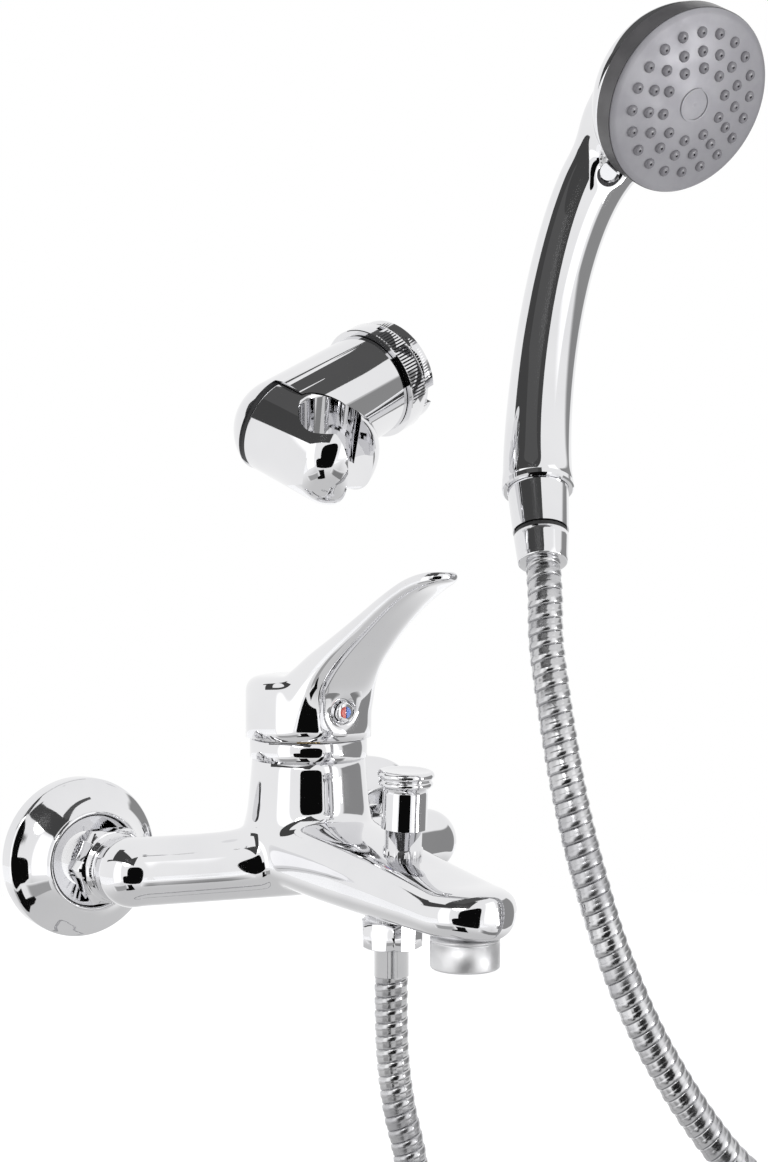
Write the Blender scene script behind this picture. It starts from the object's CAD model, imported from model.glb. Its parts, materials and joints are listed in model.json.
"""Bath shower mixer with hand shower, wound hose and wall bracket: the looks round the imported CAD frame.

The CAD's own sizes are written in millimetres and multiplied by MM, because the frame is in metres.
"""

import json
import math

import bmesh
import bpy
import numpy as np
from mathutils import Euler, Matrix, Vector


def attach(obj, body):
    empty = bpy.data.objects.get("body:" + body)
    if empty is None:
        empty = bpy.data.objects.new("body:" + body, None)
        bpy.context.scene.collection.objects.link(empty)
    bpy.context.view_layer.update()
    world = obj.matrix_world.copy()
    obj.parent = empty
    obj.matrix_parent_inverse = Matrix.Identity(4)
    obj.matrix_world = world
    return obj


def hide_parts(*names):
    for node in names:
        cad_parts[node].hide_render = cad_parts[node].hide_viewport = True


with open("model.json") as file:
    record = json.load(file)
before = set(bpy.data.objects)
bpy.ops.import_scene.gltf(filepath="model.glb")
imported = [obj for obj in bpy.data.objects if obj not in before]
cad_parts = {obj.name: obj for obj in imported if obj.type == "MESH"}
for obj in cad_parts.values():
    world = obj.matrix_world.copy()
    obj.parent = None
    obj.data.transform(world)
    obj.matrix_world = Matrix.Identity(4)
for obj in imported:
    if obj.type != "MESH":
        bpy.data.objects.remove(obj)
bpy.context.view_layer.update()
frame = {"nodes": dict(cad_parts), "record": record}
MM = 0.001
BODY_OF = {node: body for body, nodes in frame["record"]["behaviour"]["bodies"].items() for node in nodes}


# Places ------------------------------------------------------------------------------------------

def placed(at, turn=(0, 0, 0)):
    """Matrix of a place in mm with a turn in degrees, in the order in which the CAD turns its pieces."""
    return Matrix.Translation(Vector(at) * MM) @ Euler([math.radians(a) for a in turn]).to_matrix().to_4x4()


AXIS_Y = 72
INLET_X = 75
FACE_OUT = 89
FACE_UP = 142
FACE_TURN = 142
ARM_END = 48
BARREL = placed((0, -AXIS_Y, 0))
HANDSET = placed((39, -179, 157), (-21, 19, 8))
FACE = HANDSET @ placed((0, -FACE_OUT, FACE_UP), (FACE_TURN, 0, 0))
BRACKET = placed((-9, -131, 200), (28, 25.5, -67.5))
ALONG_ARM = BRACKET @ placed((0, 0, 0), (90, 0, 0))
PIVOT = BRACKET @ placed((0, -ARM_END, 0), (0, 90, 0))


def inlet(side):
    """Place on the wall at an inlet, with Z running out of the wall."""
    return placed((side * INLET_X, 0, 0), (90, 0, 0))


# Camera ------------------------------------------------------------------------------------------

CAMERA_AT = (-0.43024, -0.74785, 0.13288)
CAMERA_TURN = (89.11, 0, -34.8)
CAMERA_LENS = 57.8
CAMERA_SENSOR = 36


def place_camera():
    """Camera at the photograph's place and angle."""
    data = bpy.data.cameras.new("photo_camera")
    data.sensor_width = CAMERA_SENSOR
    data.lens = CAMERA_LENS
    camera = bpy.data.objects.new("photo_camera", data)
    camera.location = CAMERA_AT
    camera.rotation_euler = [math.radians(a) for a in CAMERA_TURN]
    bpy.context.scene.collection.objects.link(camera)
    bpy.context.scene.camera = camera


# Smooth rows -------------------------------------------------------------------------------------

def through(rows, steps):
    """Rows of numbers with steps smooth rows in each span, on a curve that passes through them all."""
    made = []
    last = len(rows) - 1
    for k in range(last):
        spans = list(zip(rows[max(k - 1, 0)], rows[k], rows[k + 1], rows[min(k + 2, last)]))
        for i in range(steps):
            t = i / steps
            made.append([b + 0.5 * t * (c - a + t * (2 * a - 5 * b + 4 * c - d + t * (3 * b - a - 3 * c + d)))
                         for a, b, c, d in spans])
    return made + [list(rows[last])]


def bow(middle, height, radius, start, end, steps):
    """Points of (radius, height) on a bow, from one angle to another in degrees."""
    angles = [math.radians(start + (end - start) * i / steps) for i in range(steps + 1)]
    return [(middle + radius * math.cos(a), height + radius * math.sin(a)) for a in angles]


# Finishes ----------------------------------------------------------------------------------------

SPECKS_PER_CLOUD = 9
CLOUD_RANGE = (0.35, 0.7)
BUMP_DEPTH = 0.0001


def new_material(name):
    """A material with its nodes, its way to link them and its shader."""
    material = bpy.data.materials.new(name)
    material.use_nodes = True
    nodes = material.node_tree.nodes
    return material, nodes, material.node_tree.links.new, nodes["Principled BSDF"]


def arithmetic(nodes, operation, second=None):
    """A node that works on its first input, with a fixed second one where it is given."""
    node = nodes.new("ShaderNodeMath")
    node.operation = operation
    if second is not None:
        node.inputs[1].default_value = second
    return node


def wear_group():
    """Node group that gives the small unevenness of a finish: a tone, a roughness and a height."""
    group = bpy.data.node_groups.new("surface_wear", "ShaderNodeTree")
    for name, kind in (("Vector", "Vector"), ("Scale", "Float"), ("Tone A", "Color"), ("Tone B", "Color"),
                       ("Smoothest", "Float"), ("Roughest", "Float")):
        group.interface.new_socket(name, in_out="INPUT", socket_type="NodeSocket" + kind)
    for name, kind in (("Tone", "Color"), ("Roughness", "Float"), ("Height", "Float")):
        group.interface.new_socket(name, in_out="OUTPUT", socket_type="NodeSocket" + kind)
    nodes, link = group.nodes, group.links.new
    given = nodes.new("NodeGroupInput")
    out = nodes.new("NodeGroupOutput")
    cloud = nodes.new("ShaderNodeTexNoise")
    cloud.inputs["Detail"].default_value = 3
    speck = nodes.new("ShaderNodeTexNoise")
    speck.inputs["Detail"].default_value = 2
    finer = arithmetic(nodes, "MULTIPLY", SPECKS_PER_CLOUD)
    soft = nodes.new("ShaderNodeMapRange")
    soft.interpolation_type = "SMOOTHSTEP"
    soft.inputs["From Min"].default_value = CLOUD_RANGE[0]
    soft.inputs["From Max"].default_value = CLOUD_RANGE[1]
    tone = nodes.new("ShaderNodeMix")
    tone.data_type = "RGBA"
    rough = nodes.new("ShaderNodeMapRange")
    link(given.outputs["Vector"], cloud.inputs["Vector"])
    link(given.outputs["Scale"], cloud.inputs["Scale"])
    link(given.outputs["Vector"], speck.inputs["Vector"])
    link(given.outputs["Scale"], finer.inputs[0])
    link(finer.outputs[0], speck.inputs["Scale"])
    link(cloud.outputs["Fac"], soft.inputs["Value"])
    link(soft.outputs["Result"], tone.inputs["Factor"])
    link(given.outputs["Tone A"], tone.inputs["A"])
    link(given.outputs["Tone B"], tone.inputs["B"])
    link(soft.outputs["Result"], rough.inputs["Value"])
    link(given.outputs["Smoothest"], rough.inputs["To Min"])
    link(given.outputs["Roughest"], rough.inputs["To Max"])
    link(tone.outputs["Result"], out.inputs["Tone"])
    link(rough.outputs["Result"], out.inputs["Roughness"])
    link(speck.outputs["Fac"], out.inputs["Height"])
    return group


def finish(name, tones, roughness, scale, metallic=0.0, bump=0.0):
    """A material whose tone and roughness vary a little over the surface, with an optional fine bump."""
    material, nodes, link, shader = new_material(name)
    shader.inputs["Metallic"].default_value = metallic
    where = nodes.new("ShaderNodeTexCoord")
    wear = nodes.new("ShaderNodeGroup")
    wear.node_tree = WEAR
    wear.inputs["Scale"].default_value = scale
    wear.inputs["Tone A"].default_value = (*tones[0], 1)
    wear.inputs["Tone B"].default_value = (*tones[1], 1)
    wear.inputs["Smoothest"].default_value = roughness[0]
    wear.inputs["Roughest"].default_value = roughness[1]
    link(where.outputs["Object"], wear.inputs["Vector"])
    link(wear.outputs["Tone"], shader.inputs["Base Color"])
    link(wear.outputs["Roughness"], shader.inputs["Roughness"])
    if bump:
        relief = nodes.new("ShaderNodeBump")
        relief.inputs["Strength"].default_value = bump
        relief.inputs["Distance"].default_value = BUMP_DEPTH
        link(wear.outputs["Height"], relief.inputs["Height"])
        link(relief.outputs["Normal"], shader.inputs["Normal"])
    return material


WEAR = wear_group()
CHROME = finish("bright_chrome", ((0.8, 0.8, 0.812), (0.76, 0.76, 0.775)), (0.025, 0.06), 26, metallic=1)
HOSE_STEEL = finish("wound_steel", ((0.6, 0.6, 0.61), (0.48, 0.48, 0.495)), (0.18, 0.3), 60, metallic=1)
SATIN_GREY = finish("satin_face", ((0.31, 0.305, 0.325), (0.27, 0.265, 0.285)), (0.34, 0.46), 90,
                    metallic=0.35, bump=0.25)
RIM_GREY = finish("dark_rim", ((0.1, 0.097, 0.1), (0.075, 0.073, 0.076)), (0.3, 0.42), 70, bump=0.15)
NOZZLE_GREY = finish("silicone_nozzle", ((0.2, 0.195, 0.21), (0.16, 0.155, 0.17)), (0.2, 0.3), 160)
BLACK_RUBBER = finish("black_rubber", ((0.012, 0.012, 0.013), (0.022, 0.022, 0.024)), (0.45, 0.65), 120,
                      bump=0.2)
BRASS = finish("turned_brass", ((0.78, 0.6, 0.3), (0.66, 0.48, 0.22)), (0.22, 0.4), 80, metallic=1)
CERAMIC = finish("polished_ceramic", ((0.9, 0.89, 0.85), (0.84, 0.83, 0.79)), (0.12, 0.22), 70)
WHITE_PLASTIC = finish("moulded_plastic", ((0.85, 0.85, 0.83), (0.78, 0.78, 0.76)), (0.4, 0.55), 70, bump=0.1)
SATIN_CHROME = finish("satin_chrome", ((0.8, 0.8, 0.81), (0.72, 0.72, 0.73)), (0.42, 0.52), 90,
                      metallic=1, bump=0.1)
MARK_RED = finish("red_mark", ((0.55, 0.05, 0.03), (0.45, 0.04, 0.03)), (0.25, 0.35), 200)
MARK_BLUE = finish("blue_mark", ((0.03, 0.14, 0.5), (0.03, 0.11, 0.4)), (0.25, 0.35), 200)
GROOVE_DARK = finish("dark_groove", ((0.1, 0.1, 0.105), (0.07, 0.07, 0.075)), (0.3, 0.4), 200, metallic=1)
GRUB_STEEL = finish("grub_steel", ((0.38, 0.38, 0.4), (0.3, 0.3, 0.32)), (0.3, 0.45), 140, metallic=1)


# Making pieces -----------------------------------------------------------------------------------

LOOP_SIDES = 64
FINE_STEPS = 160


def object_of(name, bm, material):
    """An object made of a bmesh, which is used up."""
    mesh = bpy.data.meshes.new(name)
    bm.to_mesh(mesh)
    bm.free()
    mesh.materials.append(material)
    obj = bpy.data.objects.new(name, mesh)
    bpy.context.scene.collection.objects.link(obj)
    return obj


def show(name, bm, body, material, replaces=(), crisp=35):
    """Makes a piece, smooth but for edges sharper than crisp degrees, and lets it ride on a body."""
    obj = object_of(name, bm, material)
    obj.data.shade_smooth()
    obj.data.set_sharp_from_angle(angle=math.radians(crisp))
    if body:
        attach(obj, body)
    if replaces:
        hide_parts(*replaces)
    return obj


def blank(bm, name):
    """A chrome form with its faces turned outwards, still to be worked."""
    bmesh.ops.recalc_face_normals(bm, faces=bm.faces)
    return show(name, bm, None, CHROME)


def edges_round(verts):
    """The edges of a loop of verts."""
    return list({e for v in verts for e in v.link_edges})


def ring_loop(bm, place, half_width, half_depth, squareness=1.0):
    """One loop of edges round a place: an ellipse, or a squarer one for a squareness under 1. Sizes in mm."""
    verts = bmesh.ops.create_circle(bm, segments=LOOP_SIDES, radius=1.0)["verts"]
    for v in verts:
        v.co.x = half_width * MM * math.copysign(abs(v.co.x) ** squareness, v.co.x)
        v.co.y = half_depth * MM * math.copysign(abs(v.co.y) ** squareness, v.co.y)
    bmesh.ops.transform(bm, matrix=place, verts=verts)
    return edges_round(verts)


def loft(bm, loops):
    """Skins a row of loops and closes both ends."""
    for lower, upper in zip(loops, loops[1:]):
        bmesh.ops.bridge_loops(bm, edges=lower + upper)
    for end in (loops[0], loops[-1]):
        bmesh.ops.contextual_create(bm, geom=end)


def turn(bm, profile, place, steps=96, closed=False):
    """Turns a profile of (radius, height) in mm round a place's Z axis."""
    before = set(bm.verts)
    verts = [bm.verts.new((r * MM, 0, z * MM)) for r, z in profile]
    edges = [bm.edges.new(pair) for pair in zip(verts, verts[1:])]
    if closed:
        edges.append(bm.edges.new((verts[-1], verts[0])))
    bmesh.ops.spin(bm, geom=verts + edges, cent=(0, 0, 0), axis=(0, 0, 1), angle=math.tau, steps=steps,
                   use_merge=True)
    made = [v for v in bm.verts if v not in before]
    bmesh.ops.remove_doubles(bm, verts=made, dist=1e-6)
    made = [v for v in bm.verts if v not in before]
    bmesh.ops.transform(bm, matrix=place, verts=made)
    return made


def cut_off(bm, planes):
    """Cuts a bmesh off past each plane, given as a point and the way out, and closes it again."""
    for point, way_out in planes:
        bmesh.ops.bisect_plane(bm, geom=[*bm.verts, *bm.edges, *bm.faces], plane_co=point, plane_no=way_out,
                               clear_outer=True)
    bmesh.ops.holes_fill(bm, edges=[e for e in bm.edges if e.is_boundary])


def apply_modifiers(obj):
    """Turns what an object's modifiers make into its mesh."""
    mesh = bpy.data.meshes.new_from_object(obj.evaluated_get(bpy.context.evaluated_depsgraph_get()))
    obj.modifiers.clear()
    obj.data = mesh


def fuse(bm, name, voxel, passes):
    """Melts the overlapping forms of a bmesh into one casting with softened joins. The voxel is in mm."""
    obj = blank(bm, name)
    skin = obj.modifiers.new("one_skin", "REMESH")
    skin.mode = "VOXEL"
    skin.voxel_size = voxel * MM
    soften = obj.modifiers.new("soft_joins", "SMOOTH")
    soften.factor = 0.5
    soften.iterations = passes
    apply_modifiers(obj)
    obj.data.shade_smooth()
    return obj


def cut(obj, bm):
    """Takes a closed form out of a piece."""
    tool = blank(bm, "cutter")
    hole = obj.modifiers.new("hole", "BOOLEAN")
    hole.operation = "DIFFERENCE"
    hole.solver = "EXACT"
    hole.object = tool
    apply_modifiers(obj)
    bpy.data.objects.remove(tool)


def bore(obj, profile, place, steps=96):
    """Takes a turned form out of a piece."""
    bm = bmesh.new()
    turn(bm, profile, place, steps)
    cut(obj, bm)


def trim(obj, place, size):
    """Takes a block of a size in mm, centred on a place, out of a piece."""
    bm = bmesh.new()
    bmesh.ops.create_cube(bm, size=1, matrix=place @ Matrix.Diagonal((*(c * MM for c in size), 1)))
    cut(obj, bm)


def column(items, field, kind, wide=1):
    """One field of all items of a mesh as an array, with so many numbers for each."""
    values = np.empty(wide * len(items), kind)
    items.foreach_get(field, values)
    return values.reshape(-1, wide) if wide > 1 else values


def even_out(mesh, passes):
    """Evens the normals of a casting with those round them, but not across its sharp edges."""
    ends = column(mesh.edges, "vertices", np.int32, 2)
    sharp = column(mesh.edges, "use_edge_sharp", bool)
    normals = column(mesh.vertices, "normal", np.float32, 3)
    held = np.unique(ends[sharp])
    kept = normals[held].copy()
    a, b = ends[~sharp].T
    for _ in range(passes):
        total = normals.copy()
        np.add.at(total, a, normals[b])
        np.add.at(total, b, normals[a])
        normals = total / np.linalg.norm(total, axis=1, keepdims=True)
        normals[held] = kept
    # A corner on a sharp edge leans the way the other corners of its face do
    normals[held] = 0
    given = normals[column(mesh.loops, "vertex_index", np.int32)]
    sizes = column(mesh.polygons, "loop_total", np.int32)
    face_of = np.repeat(np.arange(len(sizes)), sizes)
    leaning = np.zeros((len(sizes), 3), np.float32)
    np.add.at(leaning, face_of, given)
    bare = ~given.any(axis=1)
    given[bare] = leaning[face_of[bare]]
    length = np.linalg.norm(given, axis=1, keepdims=True)
    mesh.normals_split_custom_set(given / np.maximum(length, 1e-6))


def settle(obj, node, crisp=40, polish=0):
    """Lets a finished casting stand for its CAD node, with its normals evened out in so many passes."""
    obj.data.shade_smooth()
    obj.data.set_sharp_from_angle(angle=math.radians(crisp))
    if polish:
        even_out(obj.data, polish)
    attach(obj, BODY_OF[node])
    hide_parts(node)


def welded(node, material):
    """A CAD node's own shape with its triangles joined, so that its round faces reflect smoothly."""
    bm = bmesh.new()
    bm.from_mesh(frame["nodes"][node].data)
    bmesh.ops.remove_doubles(bm, verts=bm.verts, dist=1e-6)
    return show(node + "_skin", bm, BODY_OF[node], material, [node], crisp=30)


# Hose --------------------------------------------------------------------------------------------

SLEEVE_END = -32.4
HOSE_PITCH = 5.25
HOSE_SIDES = 24
ROUTE_STEPS = 12


def handset_mm(z):
    """A point on the handset's axis in mm."""
    return tuple(HANDSET @ Vector((0, 0, z * MM)) / MM)


HOSE_START = (0, -134, -37.5)
HOSE_ROUTE = [
    HOSE_START, (0, -134, -52), (0, -135, -70), (1, -138, -90), (4, -142, -112),
    (3, -147, -138), (-8, -149, -168), (-27, -146, -198), (-48, -138, -231), (-66, -126, -269),
    (-77, -111, -309), (-78, -97, -351), (-67, -87, -391), (-43, -84, -422), (-8, -91, -441),
    (31, -107, -445), (68, -131, -434), (100, -160, -410), (123, -191, -376), (137, -220, -334),
    (142, -245, -288), (140, -263, -240), (132, -272, -194), (115, -274, -151), (93, -267, -118),
    (68, -253, -91), (49, -240, -57), (37, -230, -24), (29, -222, 10), (25, -214, 44),
    (24, -207, 75), (25, -201, 98), handset_mm(SLEEVE_END - 14), handset_mm(SLEEVE_END)]
# One turn of the wound strip: share of the pitch and radius in mm
STRIP = [(0.0, 5.9), (0.04, 6.5), (0.14, 6.8), (0.46, 6.78),
         (0.54, 6.6), (0.6, 6.5), (0.9, 6.48), (0.96, 6.3)]


def route_frames(line):
    """Run, point, side and up along a line of points, turning as little as possible."""
    frames = []
    run = 0.0
    side = Vector((0.86, 0.5, 0))
    for k, point in enumerate(line):
        ahead = (line[min(k + 1, len(line) - 1)] - line[max(k - 1, 0)]).normalized()
        side = (side - side.dot(ahead) * ahead).normalized()
        if k:
            run += (point - line[k - 1]).length
        frames.append((run, point, side.copy(), ahead.cross(side)))
    return frames


def wind_hose():
    """Strip wound into a straight tube as a helix, trimmed at both ends and laid along its route."""
    line = [Vector(p) * MM for p in through(HOSE_ROUTE, ROUTE_STEPS)]
    frames = route_frames(line)
    run = frames[-1][0]
    pitch = HOSE_PITCH * MM
    rows = len(STRIP) * int(run / pitch + 3)
    bm = bmesh.new()
    strip = bmesh.ops.create_grid(bm, x_segments=HOSE_SIDES, y_segments=rows, size=0.5)["verts"]
    for v in strip:
        turned = v.co.x + 0.5
        winding, place = divmod(round((v.co.y + 0.5) * rows), len(STRIP))
        share, r = STRIP[place]
        v.co = Matrix.Rotation(math.tau * turned, 3, "Z") @ Vector((r * MM, 0, 0))
        v.co.z = (winding - 1 + share + turned) * pitch
    bmesh.ops.remove_doubles(bm, verts=bm.verts, dist=2e-6)
    cut_off(bm, [((0, 0, 0), (0, 0, -1)), ((0, 0, run), (0, 0, 1))])
    at = 0
    for v in sorted(bm.verts, key=lambda v: v.co.z):
        while frames[at + 1][0] < v.co.z and at < len(frames) - 2:
            at += 1
        (r0, p0, s0, u0), (r1, p1, s1, u1) = frames[at], frames[at + 1]
        t = (v.co.z - r0) / (r1 - r0)
        v.co = p0.lerp(p1, t) + v.co.x * s0.lerp(s1, t) + v.co.y * u0.lerp(u1, t)
    bmesh.ops.recalc_face_normals(bm, faces=bm.faces)
    return show("wound_hose", bm, "body", HOSE_STEEL, ["shower_hose"], crisp=50), line


# Mixer -------------------------------------------------------------------------------------------

SLAB = (90, 90, 40)
SLAB_HALF = SLAB[2] / 2
BARREL_TOP = 45
BARREL_SPARE = 52
# Radius and height of the barrel, from its foot up, and of the well for the cartridge
BARREL_FLARE = [(29, 8.4), (28.4, 14.4), (26.8, 20.4), (25.9, 26.4), (24.2, BARREL_TOP), (23.8, BARREL_SPARE)]
BARREL_WELL = [(0, 17.8), (18, 17.8), (18, 37.6), (20.6, 37.6), (20.6, 60), (0, 60)]
ARM_R = 14.4
# Distance from the elbow and radius of an arm
ARM_FLARE = [(0, ARM_R), (30, ARM_R), (44, 14.8), (54, 16), (62, 17.8), (76, 19)]
ELBOW_Y = 54
ELBOW_R = 14.7
# Radius and distance from the wall of the stub that the coupling nut holds
INLET_STUB = [(0, 36), (12, 36), (12, 38.2), (10, 38.2), (10, 42), (14, 42), (14, 56), (0, 56)]
OUTLET_Y = 183
SPOUT_LENGTH = 105
SPOUT_ROWS = 16
SPOUT_HALF = 20
SPOUT_WIDENS = 8
SPOUT_RISES = 4.6
SPOUT_UNDER = 13.6
SPOUT_TOP = 5.8
SPOUT_SLOPE = math.tan(math.radians(9.8))
SPOUT_SQUARENESS = 0.66
NOSE_ANGLES = (12, 24, 36, 47, 57, 66, 74, 80, 85, 88)
NOSE_END = 0.78
NOSE_ROUNDS = 0.14


def spout_loop(bm, y, half_width, under, share, squareness):
    """A rounded section of the spout at a distance from the wall, with its height eased by share."""
    top = SPOUT_TOP + (OUTLET_Y - min(y, OUTLET_Y)) * SPOUT_SLOPE
    middle = (top - under) / 2
    half = (top + under) / 2 * share
    return ring_loop(bm, placed((0, -y, middle), (90, 0, 0)), half_width, half, squareness)


def spout_rows():
    """Rows of the spout from the barrel to its nose."""
    rows = []
    for i in range(SPOUT_ROWS):
        left = 1 - i / (SPOUT_ROWS - 1)
        rows.append((OUTLET_Y - SPOUT_LENGTH * left, SPOUT_HALF + SPOUT_WIDENS * left ** 3,
                     SPOUT_UNDER - SPOUT_RISES * left ** 4, 1, SPOUT_SQUARENESS))
    for a in NOSE_ANGLES:
        c, n = math.cos(math.radians(a)), math.sin(math.radians(a))
        rows.append((OUTLET_Y + SPOUT_HALF * n, SPOUT_HALF * c, SPOUT_UNDER,
                     NOSE_END + (1 - NOSE_END) * c, SPOUT_SQUARENESS + NOSE_ROUNDS * n))
    return rows


def cast_body():
    """Barrel, arms, elbows and spout in one casting, level at the top and bored for the cartridge."""
    bm = bmesh.new()
    foot = bow(20, 2, 9, -90, 0, 9)
    turn(bm, [(0, -7), *foot, *through(BARREL_FLARE, 5), (0, BARREL_SPARE)], BARREL)
    for side in (-1, 1):
        elbow = Vector((side * INLET_X, -ELBOW_Y, 0))
        reach = Vector((0, -AXIS_Y, 0)) - elbow
        lie = reach.to_track_quat("Z", "Y").to_matrix().to_4x4()
        loops = []
        for along, r in through(ARM_FLARE, 4):
            at = elbow + reach * (along / reach.length) + Vector((0, 0, r - ARM_R))
            loops.append(ring_loop(bm, placed(at) @ lie, r, r))
        loft(bm, loops)
        bmesh.ops.create_uvsphere(bm, u_segments=48, v_segments=24, radius=ELBOW_R * MM, matrix=placed(elbow))
        turn(bm, INLET_STUB, inlet(side))
    loft(bm, [spout_loop(bm, *row) for row in spout_rows()])
    body = fuse(bm, "mixer_casting", voxel=0.8, passes=34)
    trim(body, BARREL @ placed((0, 0, BARREL_TOP + SLAB_HALF)), SLAB)
    bore(body, BARREL_WELL, BARREL)
    settle(body, "mixer_body", polish=30)


# Lever -------------------------------------------------------------------------------------------

# Distance from the axis, height above the skirt's edge, half width, half thickness and slope of the blade
BLADE = [(9, 4, 23, 17, 90), (10, 12, 22.6, 16.6, 86), (13.8, 19.5, 21.8, 14.4, 70),
         (20.5, 25.8, 19.5, 10, 52), (28, 32.4, 17.2, 7.6, 42), (38, 39.4, 15, 5.8, 36),
         (54, 49.6, 12.6, 4.4, 33), (70, 59, 11.4, 3.5, 27), (84, 65.6, 10.6, 3, 16),
         (95, 68.8, 8.4, 2.4, 6), (101, 69.4, 4, 1.2, 0)]
SKIRT_Z = 54
SKIRT_R = 27
SKIRT_SPARE = 6
PIVOT_Z = 49.5
HOLLOW_R = 26.2
BUTTON_Z = 66
BUTTON_R = 4.2
BUTTON_FRONT = 4.6
BUTTON_SINKS = 2.5
BUTTON_HOLE_R = BUTTON_R + 0.35
BUTTON_HOLE = [(0, 24.5), (BUTTON_HOLE_R, 24.5), (BUTTON_HOLE_R, 50), (0, 50)]
MARK_BACK_R = 2.5
MARK_FRONT_R = 2.3
MARK_DEPTH = 0.5
MARK_GAP = 0.2


def blade_loop(bm, place, half_width, half_thick):
    """A section of the blade, flat on both faces with round edges."""
    verts = bmesh.ops.create_circle(bm, segments=LOOP_SIDES, radius=half_thick * MM)["verts"]
    for v in verts:
        v.co.x += math.copysign((half_width - half_thick) * MM, v.co.x)
    bmesh.ops.transform(bm, matrix=place, verts=verts)
    return edges_round(verts)


def cast_lever():
    """Domed skirt that sweeps up into the blade, hollowed for the cartridge's dome."""
    bm = bmesh.new()
    shoulder = bow(21, 74, 6, 0, 80, 8)
    edge = SKIRT_Z - SKIRT_SPARE
    turn(bm, [(0, edge), (SKIRT_R, edge), *shoulder, (17, 80.6), (0, 81)], BARREL)
    loft(bm, [blade_loop(bm, BARREL @ placed((0, -out, SKIRT_Z + up), (90 - slope, 0, 0)), width, thick)
              for out, up, width, thick, slope in through(BLADE, 6)])
    lever = fuse(bm, "lever_casting", voxel=0.5, passes=60)
    trim(lever, BARREL @ placed((0, 0, SKIRT_Z - SLAB_HALF)), SLAB)
    hollow = bmesh.new()
    bmesh.ops.create_uvsphere(hollow, u_segments=64, v_segments=32, radius=HOLLOW_R * MM,
                              matrix=BARREL @ placed((0, 0, PIVOT_Z)))
    cut(lever, hollow)
    bore(lever, BUTTON_HOLE, BARREL @ placed((0, 0, BUTTON_Z), (90, 0, 0)), steps=48)
    settle(lever, "lever", polish=90)


def mark_button():
    """Bright button in front of the lever's screw, with a red and a blue half disc."""
    place = BARREL @ placed((0, BUTTON_SINKS - SKIRT_R, BUTTON_Z), (90, 0, 0))
    bm = bmesh.new()
    rim = bow(BUTTON_R - 1, 3.2, 1, 0, 70, 5)
    turn(bm, [(0, 0), (BUTTON_R, 0), *rim, (0, BUTTON_FRONT)], place, steps=64)
    show("lever_button_skin", bm, "lever", CHROME, ["lever_button"])
    for side, name, material in ((-1, "warm_mark", MARK_RED), (1, "cold_mark", MARK_BLUE)):
        half = bmesh.new()
        bmesh.ops.create_cone(half, cap_ends=True, segments=48, radius1=MARK_BACK_R * MM,
                              radius2=MARK_FRONT_R * MM, depth=MARK_DEPTH * MM,
                              matrix=Matrix.Translation((0, 0, BUTTON_FRONT * MM)))
        cut_off(half, [((MARK_GAP * side * MM, 0, 0), (-side, 0, 0))])
        bmesh.ops.transform(half, matrix=place, verts=half.verts)
        show(name, half, "lever", material)


# Handset -----------------------------------------------------------------------------------------

HANDLE_R = 14
HANDLE_ROWS = 12
HANDLE_FROM = 0.03
HANDLE_WIDENS = 3.4
HANDLE_DEEPENS = 1.6
HANDLE_PLUG = [(0, -6), (HANDLE_R, -6), (HANDLE_R, 6), (0, 6)]
HANDLE_CUT = (60, 60, 40)
HANDLE_CUT_Z = -19
GRIP_R = 12.2
FACE_ANGLE = math.radians(FACE_TURN)
HEAD_R = 37.6
HEAD_BACK = -9.2
DOME_R = 37.2
# Radius and height of the round back of the head
HEAD_DOME = [(0, -18.5), (12, -17.7), (22, -15.7), (29.6, -12.5), (34.6, -8.6), (36.4, -4.4), (DOME_R, -1)]
NECK_BACK = 22.4
# Distance along the face, depth behind it, half width and half depth where the neck runs into the head
NECK = ((14, NECK_BACK + 1.6, 21, 13.8), (30, NECK_BACK - 0.4, 25, 11.6), (46, NECK_BACK - 3, 22, 8.4))
BEND = 0.255
RECESS = HANDSET @ placed((-5.6, -52, 125), (35, -150, 0))
RECESS_FORM = [(0, -2.4), (3.6, -2.4), (4.4, -1.6), (4.4, 6), (0, 6)]
HANDLE_LIP = [(0, -9.5), (10.4, -9.5), (10.4, -0.2), (13.6, -0.2), (14.2, 0.4), (14.2, 2.3), (13.7, 2.7),
              (0, 2.7)]


def face_point(along, out):
    """A point of the handset's middle plane as (y, z), along the face and out of it."""
    return Vector((-FACE_OUT + along * math.cos(FACE_ANGLE) - out * math.sin(FACE_ANGLE),
                   FACE_UP + along * math.sin(FACE_ANGLE) + out * math.cos(FACE_ANGLE)))


def handle_rows():
    """Rows of the handle: y, z, lean of the section in degrees, half width and half depth."""
    end = face_point(-HEAD_R, -NECK_BACK)
    reach = BEND * end.length
    p1 = Vector((0, reach))
    p2 = end - reach * Vector((math.cos(FACE_ANGLE), math.sin(FACE_ANGLE)))
    rows = []
    for i in range(HANDLE_ROWS):
        t = HANDLE_FROM + (1 - HANDLE_FROM) * i / (HANDLE_ROWS - 1)
        at = 3 * (1 - t) ** 2 * t * p1 + 3 * (1 - t) * t * t * p2 + t ** 3 * end
        way = 3 * (1 - t) ** 2 * p1 + 6 * (1 - t) * t * (p2 - p1) + 3 * t * t * (end - p2)
        lean = math.degrees(math.atan2(-way.x, way.y))
        slim = GRIP_R + (HANDLE_R - GRIP_R) * (1 - t) ** 2
        rows.append((at.x, at.y, lean, slim + HANDLE_WIDENS * t ** 4, slim + HANDLE_DEEPENS * t ** 3))
    lean = math.degrees(FACE_ANGLE) - 90
    for along, behind, half_width, half_depth in NECK:
        at = face_point(along - HEAD_R, -behind)
        rows.append((at.x, at.y, lean, half_width, half_depth))
    return rows


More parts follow.
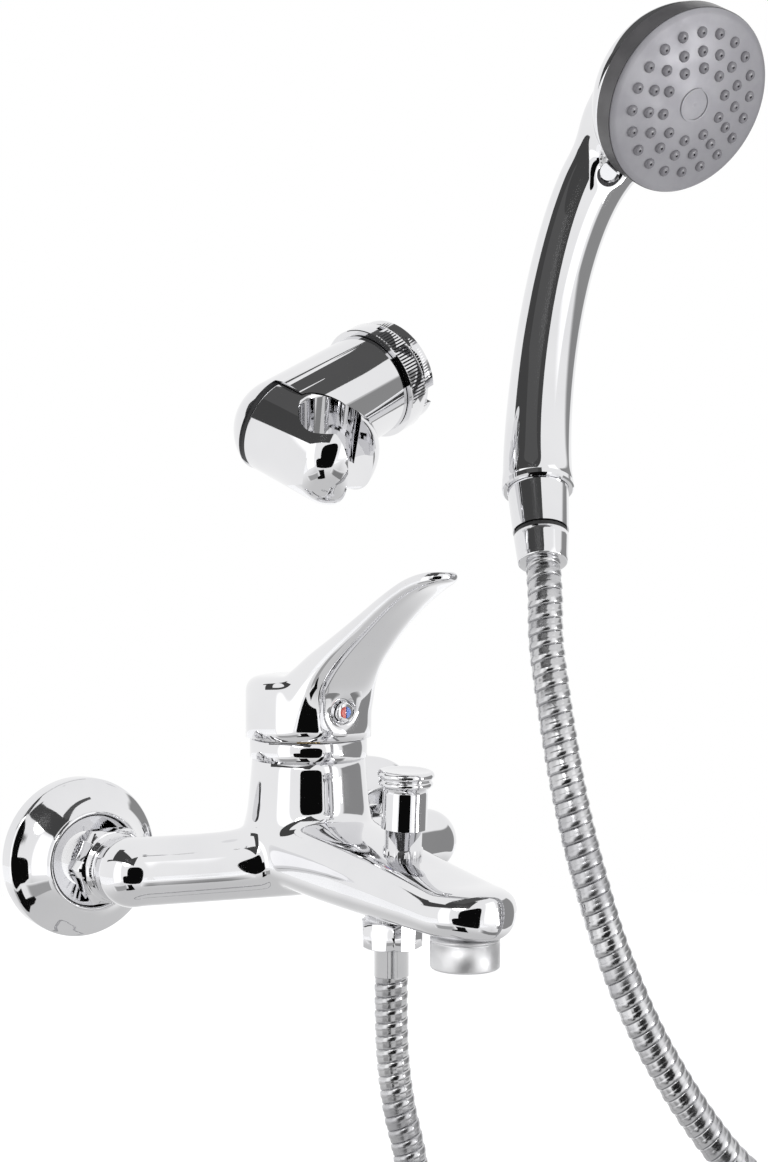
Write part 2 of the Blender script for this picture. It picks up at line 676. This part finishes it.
def mould_handset():
    """Handle with its lip, swept into the round back of the head."""
    bm = bmesh.new()
    loft(bm, [ring_loop(bm, HANDSET @ placed((0, y, z), (lean, 0, 0)), half_width, half_depth)
              for y, z, lean, half_width, half_depth in through(handle_rows(), 3)])
    turn(bm, HANDLE_PLUG, HANDSET)
    turn(bm, [*through(HEAD_DOME, 5), (DOME_R, 0), (0, 0)], FACE @ placed((0, 0, HEAD_BACK)))
    shell = fuse(bm, "handset_casting", voxel=0.75, passes=34)
    trim(shell, HANDSET @ placed((0, 0, HANDLE_CUT_Z)), HANDLE_CUT)
    bore(shell, RECESS_FORM, RECESS, steps=48)
    settle(shell, "handset_shell", polish=40)
    lip = bmesh.new()
    turn(lip, HANDLE_LIP, HANDSET)
    show("handle_lip", lip, "handset", CHROME)


# Bracket -----------------------------------------------------------------------------------------

BRACKET_R = 20.5
NECK_R = 20.2
CHEEK = -7
HOLDER_R = 19
HOLDER_ENDS = (-5, 37.5)
HOLDER_ROUND = 13
HOLDER_ROOM = [(0, CHEEK), *bow(HOLDER_R - 0.7, CHEEK + 1, 1, -90, 0, 4), (HOLDER_R + 0.3, 60), (0, 60)]
HOLDER_GAP = (100, 60, 100)
SCREW_ROOM = [(0, -30), (5.4, -30), (5.4, 22), (0, 22)]
SOCKET_X = 21
SOCKET = [(0, -5), (10.2, -5), *bow(13.6, 17.2, 1.8, 180, 90, 6), (15, 24), (0, 24)]
HOSE_ROOM = [(0, -40), (7.8, -40), (7.8, 40), (0, 40)]
HOSE_WAY_IN = (60, 14.4, 80)
CLAMP_R = 22.8
CLAMP_W = 8.8
GROOVES = 110
GROOVE_STEPS = 4
GROOVE_ENDS = (1.1, CLAMP_W - 0.9)
GROOVE_DEPTH = 0.5
GRIP_ANGLES = (5, 86)
TOOL_HOLE = (2.6, 2.6, 3)


def turn_arm():
    """Round arm with a domed end, cut away where the holder tilts in it."""
    bm = bmesh.new()
    turn(bm, [(0, -8.5), (NECK_R - 0.5, -8.5), (NECK_R, -8), (NECK_R, 0.3), (20, 0.3), (BRACKET_R, 0.8),
              *bow(0, ARM_END, BRACKET_R, 0, 90, 24)], ALONG_ARM, FINE_STEPS)
    arm = blank(bm, "bracket_arm_skin")
    bore(arm, HOLDER_ROOM, PIVOT, FINE_STEPS)
    trim(arm, BRACKET @ placed((CHEEK + HOLDER_GAP[0] / 2, -ARM_END - HOLDER_GAP[1] / 2, 0)), HOLDER_GAP)
    bore(arm, SCREW_ROOM, ALONG_ARM, steps=64)
    settle(arm, "bracket_arm")


def turn_holder():
    """Round holder with a rounded end, a conical socket for the handset and a slot for its hose."""
    low, high = HOLDER_ENDS
    bm = bmesh.new()
    turn(bm, [(0, low), *bow(HOLDER_R - 0.8, low + 0.8, 0.8, -90, 0, 4),
              *bow(HOLDER_R - HOLDER_ROUND, high - HOLDER_ROUND, HOLDER_ROUND, 0, 90, 20), (0, high)],
         PIVOT, FINE_STEPS)
    holder = blank(bm, "bracket_holder_skin")
    across = BRACKET @ placed((SOCKET_X, -ARM_END, 0))
    bore(holder, SOCKET, across, steps=128)
    bore(holder, HOSE_ROOM, across)
    trim(holder, across @ placed((HOSE_WAY_IN[0] / 2, 0, 0)), HOSE_WAY_IN)
    settle(holder, "bracket_holder")


def knurl_ring():
    """Clamp ring with dark grooves across its two grips and a small hole for a tool."""
    bm = bmesh.new()
    inner = NECK_R + 0.3
    low, high = GROOVE_ENDS
    steps = GROOVE_STEPS * GROOVES
    made = turn(bm, [(inner, 0), (CLAMP_R - 0.3, 0), (CLAMP_R, 0.3), (CLAMP_R, low), (CLAMP_R, high),
                     (CLAMP_R - 0.5, CLAMP_W), (inner, CLAMP_W)], Matrix.Identity(4), steps, closed=True)
    pressed = set()
    for v in made:
        out = Vector((v.co.x, v.co.y, 0))
        angle = math.atan2(v.co.y, v.co.x)
        on_groove = round(angle / math.tau * steps) % GROOVE_STEPS == 0
        on_grip = GRIP_ANGLES[0] < -math.degrees(angle) % 180 < GRIP_ANGLES[1]
        on_rim = out.length > (CLAMP_R - 0.1) * MM and low - 0.1 < v.co.z / MM < high + 0.1
        if on_groove and on_grip and on_rim:
            v.co -= out.normalized() * GROOVE_DEPTH * MM
            pressed.add(v)
    for face in bm.faces:
        face.material_index = int(len(pressed.intersection(face.verts)) == 2)
    bmesh.ops.transform(bm, matrix=BRACKET @ placed((0, 0, 0), (-90, 0, 0)), verts=bm.verts)
    ring = blank(bm, "clamp_ring_skin")
    ring.data.materials.append(GROOVE_DARK)
    trim(ring, BRACKET @ placed((-0.8, 6.2, CLAMP_R)), TOOL_HOLE)
    settle(ring, "clamp_ring", crisp=30)


# Studio ------------------------------------------------------------------------------------------

FLOOR_AT = (0, -0.15, -0.47)
FLOOR_R = 2.6
FLOOR_GREY = (0.82, 0.82, 0.82, 1)
FLOOR_LIFT = 0.5
WHITE = (1, 1, 1, 1)
SOFT_WHITE = (0.97, 0.98, 1, 1)
SOFT_STRENGTH = 0.7
MIXER_AT = (0, -0.11, 0.03)
HANDSET_AT = (0.05, -0.21, 0.24)
BRACKET_AT = (-0.02, -0.13, 0.2)
HOSE_AT = (-0.02, -0.13, -0.2)
BLACK = 0.004
# Name, place, point it is aimed at, size and watts of each lamp
LAMPS = [
    ("low_right_lamp", (0.75, -1.0, -0.1), HANDSET_AT, 0.5, 5),
    ("high_left_lamp", (-1.1, -0.9, 1.1), MIXER_AT, 0.8, 8),
]
# Name, point that the card is seen from, azimuth, elevation, distance, edges, shade, soft edge and
# whether its corners are rounded
CARDS = [
    ("mixer_flag", MIXER_AT, -26.5, 5, 0.78, (-0.35, 0.29, -0.6, 0.25), BLACK, 0, True),
    ("flag_foot", MIXER_AT, -26.5, 5, 0.781, (-0.62, 0.1, -0.62, -0.14), BLACK, 0, True),
    ("flag_floor", MIXER_AT, -45, -90, 0.475, (-0.16, 0.1, 0.38, 0.75), BLACK, 0, False),
    ("handset_card", HANDSET_AT, -70, 29, 0.5, (-1.12, 0.28, -0.15, 0.4), 0.065, 0, False),
    ("mixer_shield", MIXER_AT, 0, 90, 0.128, (-0.14, 0.15, -0.05, 0.075), 1.0, 0, False),
    ("side_shield", MIXER_AT, -75, 43, 0.16, (-0.26, -0.155, -0.07, 0.06), 1.0, 0, False),
    ("over_card", BRACKET_AT, 0, 90, 0.28, (-0.23, 0.18, -0.21, 0.09), 0.1, 0, False),
    ("under_card", MIXER_AT, -23.5, -90, 0.49, (-1, 1, -1, 1), 0.66, 0.7, False),
    ("right_softbox", HANDSET_AT, 16, 0, 1.2, (-0.4, 0.37, -0.75, 0.9), 1.4, 0.3, False),
    ("right_grey", HANDSET_AT, 62, -8, 1.0, (-0.5, 0.9, -0.7, 0.5), 0.3, 0.2, False),
    ("left_softbox", HANDSET_AT, -88, -5, 1.2, (-0.3, 0.3, -0.75, 0.75), 1.4, 0.3, False),
    ("hose_card", HOSE_AT, 22, -24, 0.55, (-0.3, 0.4, -0.1, 0.12), 0.25, 0.4, False),
    ("hose_side_card", HOSE_AT, -78, -24, 0.5, (-0.3, 0.2, -0.1, 0.12), 0.4, 0.4, False),
]


def seen_directly(nodes, link):
    """1 for rays from the camera and for rays off metal and through glass, 0 for those of soft light."""
    ray = nodes.new("ShaderNodeLightPath")
    either = arithmetic(nodes, "ADD")
    any_of = arithmetic(nodes, "ADD")
    any_of.use_clamp = True
    link(ray.outputs["Is Camera Ray"], either.inputs[0])
    link(ray.outputs["Is Glossy Ray"], either.inputs[1])
    link(either.outputs[0], any_of.inputs[0])
    link(ray.outputs["Is Transmission Ray"], any_of.inputs[1])
    return any_of.outputs[0]


def white_surroundings():
    """World of soft light that shows as plain white behind the object and in its metal."""
    world = bpy.data.worlds.new("studio")
    bpy.context.scene.world = world
    world.use_nodes = True
    nodes, link = world.node_tree.nodes, world.node_tree.links.new
    soft = nodes["Background"]
    soft.inputs["Color"].default_value = SOFT_WHITE
    soft.inputs["Strength"].default_value = SOFT_STRENGTH
    white = nodes.new("ShaderNodeBackground")
    white.inputs["Color"].default_value = WHITE
    choose = nodes.new("ShaderNodeMixShader")
    link(seen_directly(nodes, link), choose.inputs["Fac"])
    link(soft.outputs[0], choose.inputs[1])
    link(white.outputs[0], choose.inputs[2])
    link(choose.outputs[0], nodes["World Output"].inputs["Surface"])


def stage_piece(name, bm, material):
    """A piece of the studio, which is no part of the object."""
    obj = object_of(name, bm, material)
    return obj


def lay_floor():
    """Pale floor that keeps the object's shadow."""
    material, nodes, link, shader = new_material("pale_floor")
    shader.inputs["Base Color"].default_value = FLOOR_GREY
    shader.inputs["Roughness"].default_value = 0.7
    shader.inputs["Emission Color"].default_value = WHITE
    lift = arithmetic(nodes, "MULTIPLY", FLOOR_LIFT)
    link(seen_directly(nodes, link), lift.inputs[0])
    link(lift.outputs[0], shader.inputs["Emission Strength"])
    bm = bmesh.new()
    bmesh.ops.create_circle(bm, cap_ends=True, segments=96, radius=FLOOR_R,
                            matrix=Matrix.Translation(FLOOR_AT))
    stage_piece("floor", bm, material)


def card_paint(name, shade, soft_edge):
    """Even grey that fades to white over the soft edge, a share of the card's half width."""
    material, nodes, link, shader = new_material(name)
    shader.inputs["Base Color"].default_value = (0, 0, 0, 1)
    shader.inputs["Specular IOR Level"].default_value = 0
    shader.inputs["Emission Strength"].default_value = 1
    where = nodes.new("ShaderNodeTexCoord")
    split = nodes.new("ShaderNodeSeparateXYZ")
    link(where.outputs["UV"], split.inputs[0])
    most = arithmetic(nodes, "MAXIMUM")
    for axis, far in zip("XY", most.inputs):
        off = arithmetic(nodes, "SUBTRACT", 0.5)
        size = arithmetic(nodes, "ABSOLUTE")
        link(split.outputs[axis], off.inputs[0])
        link(off.outputs[0], size.inputs[0])
        link(size.outputs[0], far)
    fade = nodes.new("ShaderNodeMapRange")
    fade.interpolation_type = "SMOOTHSTEP"
    fade.inputs["From Min"].default_value = 0.5 - 0.5 * soft_edge
    fade.inputs["From Max"].default_value = 0.5
    fade.inputs["To Min"].default_value = shade
    fade.inputs["To Max"].default_value = 1 if soft_edge else shade
    link(most.outputs[0], fade.inputs["Value"])
    link(fade.outputs["Result"], shader.inputs["Emission Color"])
    return material


def card(name, seen_from, azimuth, elevation, distance, edges, shade, soft_edge, rounded):
    """A grey card that only metal sees, square to a way from the point it is seen from.

    Azimuth runs from -Y towards +X. The edges are left, right, lower and upper, in metres from the way's end.
    """
    az, el = math.radians(azimuth), math.radians(elevation)
    way = Vector((math.sin(az) * math.cos(el), -math.cos(az) * math.cos(el), math.sin(el)))
    across = Vector((math.cos(az), math.sin(az), 0))
    place = Matrix([across, across.cross(way) * -1, way]).transposed().to_4x4()
    place.translation = Vector(seen_from) + way * distance
    left, right, lower, upper = edges
    middle = Matrix.Translation(((left + right) / 2, (lower + upper) / 2, 0))
    stretch = place @ middle @ Matrix.Diagonal((right - left, upper - lower, 1, 1))
    bm = bmesh.new()
    bm.loops.layers.uv.new()
    if rounded:
        rim = ring_loop(bm, Matrix.Scale(0.5 / MM, 4), 1, 1, squareness=0.5)
        bmesh.ops.contextual_create(bm, geom=rim)
        bmesh.ops.transform(bm, matrix=stretch, verts=bm.verts)
    else:
        bmesh.ops.create_grid(bm, x_segments=1, y_segments=1, size=0.5, calc_uvs=True, matrix=stretch)
    obj = stage_piece(name, bm, card_paint(name, shade, soft_edge))
    obj.visible_camera = False
    obj.visible_shadow = False
    obj.visible_diffuse = False


def lamp(name, at, aim, size, watts):
    """A round soft lamp, aimed at a point."""
    data = bpy.data.lights.new(name, "AREA")
    data.shape = "DISK"
    data.size = size
    data.energy = watts
    obj = bpy.data.objects.new(name, data)
    obj.location = at
    obj.rotation_euler = (Vector(aim) - Vector(at)).to_track_quat("-Z", "Y").to_euler()
    bpy.context.scene.collection.objects.link(obj)


def light_studio():
    """White surroundings, a pale floor, soft lamps, and the grey cards that draw the lines in the chrome."""
    bpy.context.scene.view_settings.view_transform = "Standard"
    white_surroundings()
    lay_floor()
    for row in LAMPS:
        lamp(*row)
    for row in CARDS:
        card(*row)


# Assembly ----------------------------------------------------------------------------------------

# Nodes that keep their CAD shape, by finish
WELDED = {
    CHROME: ["left_union", "right_union", "left_flange", "right_flange", "left_nut", "right_nut",
             "trim_collar", "diverter_bonnet", "diverter_knob", "shower_nipple", "handset_nut",
             "bracket_plate"],
    BLACK_RUBBER: ["left_washer", "right_washer", "diverter_seal", "aerator_seal", "handset_washer",
                   "head_seal", "friction_ring"],
    BRASS: ["cartridge_nut", "pivot_pin", "spindle", "diverter_rod", "pivot_screw"],
    SATIN_CHROME: ["aerator_housing"],
    CERAMIC: ["lower_disc", "upper_disc"],
    WHITE_PLASTIC: ["cartridge_case", "turn_guide", "aerator_insert"],
    GRUB_STEEL: ["grub_screw"],
    SATIN_GREY: ["spray_face", "face_ring"],
    RIM_GREY: ["spray_rim"],
    NOZZLE_GREY: ["spray_nozzles"],
}

place_camera()
hose, hose_line = wind_hose()
fittings = [welded(node, CHROME) for node in ("hose_nut", "hose_ferrule", "hose_sleeve")]
fittings += [welded(node, BLACK_RUBBER) for node in ("hose_washer", "swivel_ring")]
cast_body()
cast_lever()
mark_button()
mould_handset()
turn_arm()
turn_holder()
knurl_ring()
for material, nodes in WELDED.items():
    for node in nodes:
        welded(node, material)
light_studio()
